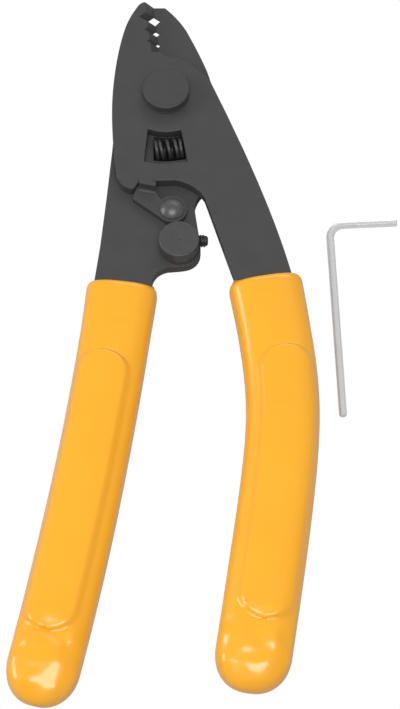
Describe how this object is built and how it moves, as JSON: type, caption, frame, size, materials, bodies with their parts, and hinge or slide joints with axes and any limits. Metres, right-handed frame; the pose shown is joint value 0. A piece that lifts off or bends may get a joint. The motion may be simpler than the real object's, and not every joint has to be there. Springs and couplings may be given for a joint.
{
  "type": "fibre stripper",
  "caption": "Hand tool that strips optical fibre: lapped steel jaws with V-notched bevelled blades, return spring, thumb latch, screw-set closing stop, soft grips and a loose hex key.",
  "frame": {"origin": "on the pivot axis, at the flat rear face of the pivot rivet's rear head", "axes": "+Y runs from the grips to the tips of the jaws, +X to the right grip, +Z from the rear plate to the front plate's face, where the latch and the stop disc are"},
  "size_m": [0.0811, 0.1647, 0.0138],
  "materials": {
    "plate_steel": "black oxide on blanked steel, dark grey, nearly matte",
    "rivet_steel": "black oxide on turned steel, dark grey, a little smoother than the plates",
    "spring_steel": "oiled dark spring wire with a soft sheen",
    "screw_steel": "black hardened screw steel, slightly glossy",
    "grip": "glossy orange-yellow dipped vinyl with softly rounded edges",
    "key_plating": "bright zinc plating"
  },
  "bodies": {
    "rear_half": {"rear_plate": "plate_steel", "pivot_rivet": "rivet_steel", "latch_rivet": "rivet_steel", "stop_disc": "rivet_steel", "left_grip": "grip", "return_spring": "spring_steel"},
    "front_half": {"front_plate": "plate_steel", "right_grip": "grip"},
    "latch": {"latch_lever": "plate_steel"},
    "stop_screw": {"set_screw": "screw_steel"},
    "key": {"hex_key": "key_plating"}
  },
  "joints": [
    {"name": "handle_pivot", "type": "hinge", "parent": "rear_half", "child": "front_half", "pos_m": [0, 0, 0.00529], "axis": [0, 0, 1], "range_deg": [-3.2, 0], "stiffness_Nm_per_rad": 0.5, "springref_deg": 9, "deforming": ["return_spring"]},
    {"name": "latch_swing", "type": "hinge", "parent": "rear_half", "child": "latch", "pos_m": [0.0014, -0.02785, 0.00479], "axis": [0, 0, 1], "range_deg": [0, 60]},
    {"name": "screw_adjust", "type": "slide", "parent": "rear_half", "child": "stop_screw", "axis": [1, 0, 0], "range_m": [-0.002, 0]},
    {"name": "key_lift", "type": "slide", "parent": "rear_half", "child": "key", "axis": [0, 0, 1], "range_m": [0, 0.03]}
  ]
}
